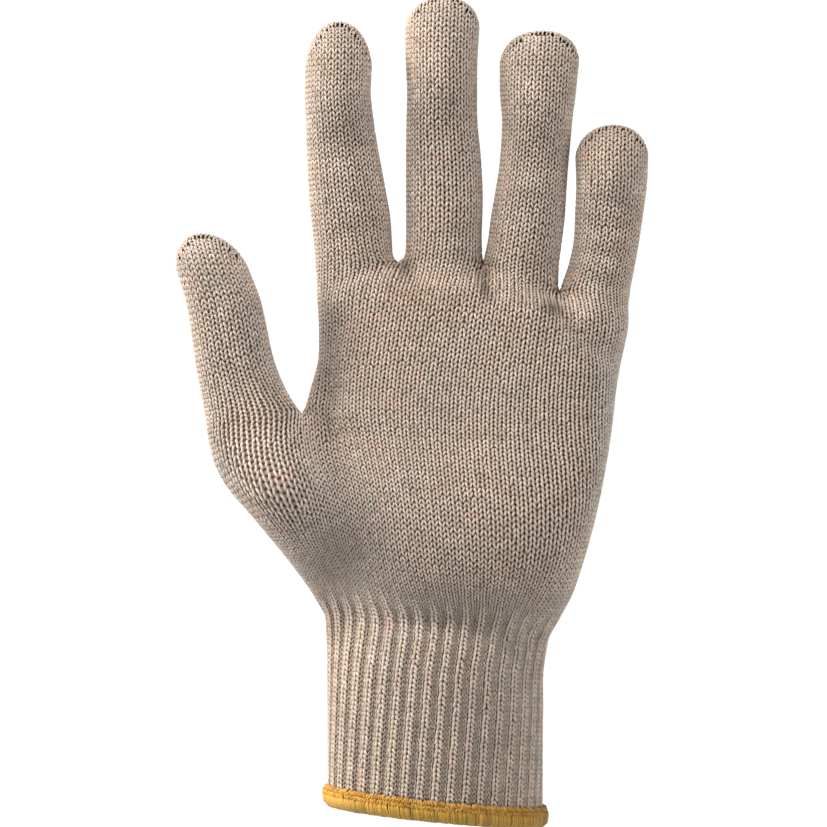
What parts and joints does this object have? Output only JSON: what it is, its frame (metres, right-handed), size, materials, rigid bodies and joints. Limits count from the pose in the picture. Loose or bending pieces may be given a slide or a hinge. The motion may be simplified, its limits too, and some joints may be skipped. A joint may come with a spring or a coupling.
{
  "type": "cotton work glove",
  "caption": "Knitted cotton work glove with a ribbed cuff and an overlocked edge, hollow and open at the wrist, held upright as if worn.",
  "frame": {"origin": "centre of the cuff's mouth, where a wrist goes in", "axes": "+Z from the cuff to the fingertips, -Y towards the palm side, +X towards the little finger"},
  "size_m": [0.1361, 0.0477, 0.2401],
  "materials": {
    "yarn": "plain knitted cotton yarn, greige with small pale and pinkish flecks",
    "rib_yarn": "rib-knitted cotton yarn, a little paler",
    "hem_yarn": "golden yellow overlock thread"
  },
  "bodies": {
    "root": {"palm": "yarn", "thumb": "yarn", "index_finger": "yarn", "middle_finger": "yarn", "ring_finger": "yarn", "little_finger": "yarn", "cuff": "rib_yarn", "hem": "hem_yarn"}
  },
  "joints": []
}
